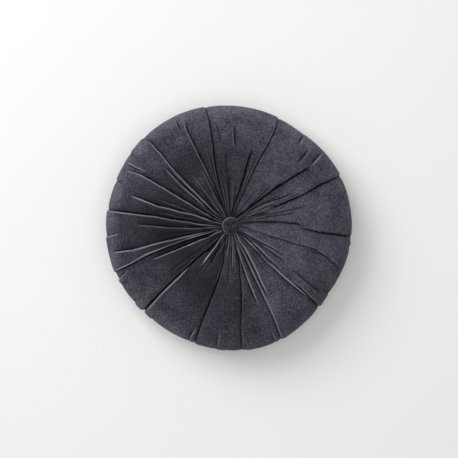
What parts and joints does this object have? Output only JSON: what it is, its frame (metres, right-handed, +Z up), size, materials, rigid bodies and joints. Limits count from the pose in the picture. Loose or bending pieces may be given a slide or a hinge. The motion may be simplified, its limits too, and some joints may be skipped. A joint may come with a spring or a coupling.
{
  "type": "floor cushion",
  "caption": "Round tufted velvet floor cushion, pleated from its covered middle buttons out over its rounded side.",
  "frame": {"origin": "on the floor under the cushion's middle", "axes": "+Z up through both buttons; the cushion is round, and the closing seam of its velvet is 105 degrees round from +X towards +Y"},
  "size_m": [0.4, 0.4, 0.11],
  "materials": {
    "velvet": "matte",
    "thread": "matte",
    "casing": "matte",
    "fibre": "matte",
    "steel": "satin",
    "twine": "satin"
  },
  "bodies": {
    "cushion": {"velvet_cover": "velvet", "cover_seam_thread": "thread", "insert_top_panel": "casing", "insert_bottom_panel": "casing", "insert_seam_thread": "thread", "fibre_filling": "fibre", "tufting_twine": "twine"},
    "top_tuft": {"top_button_velvet": "velvet", "top_button_cap": "steel", "top_button_back_plate": "steel", "top_button_eye": "steel", "top_gathering_thread": "thread"},
    "bottom_tuft": {"bottom_button_velvet": "velvet", "bottom_button_cap": "steel", "bottom_button_back_plate": "steel", "bottom_button_eye": "steel", "bottom_gathering_thread": "thread", "twine_knot": "twine"}
  },
  "joints": [
    {"name": "seat_press", "type": "slide", "parent": "cushion", "child": "top_tuft", "axis": [0, 0, -1], "range_m": [0, 0.024], "stiffness_N_per_m": 1500, "deforming": ["velvet_cover", "cover_seam_thread", "insert_top_panel", "insert_bottom_panel", "insert_seam_thread", "fibre_filling", "tufting_twine"]},
    {"name": "under_tuft_sink", "type": "slide", "parent": "cushion", "child": "bottom_tuft", "axis": [0, 0, -1], "range_m": [0, 0.0066], "stiffness_N_per_m": 1500}
  ],
  "couplings": [
    {"joint": "under_tuft_sink", "follows": "seat_press", "ratio": 0.275}
  ]
}
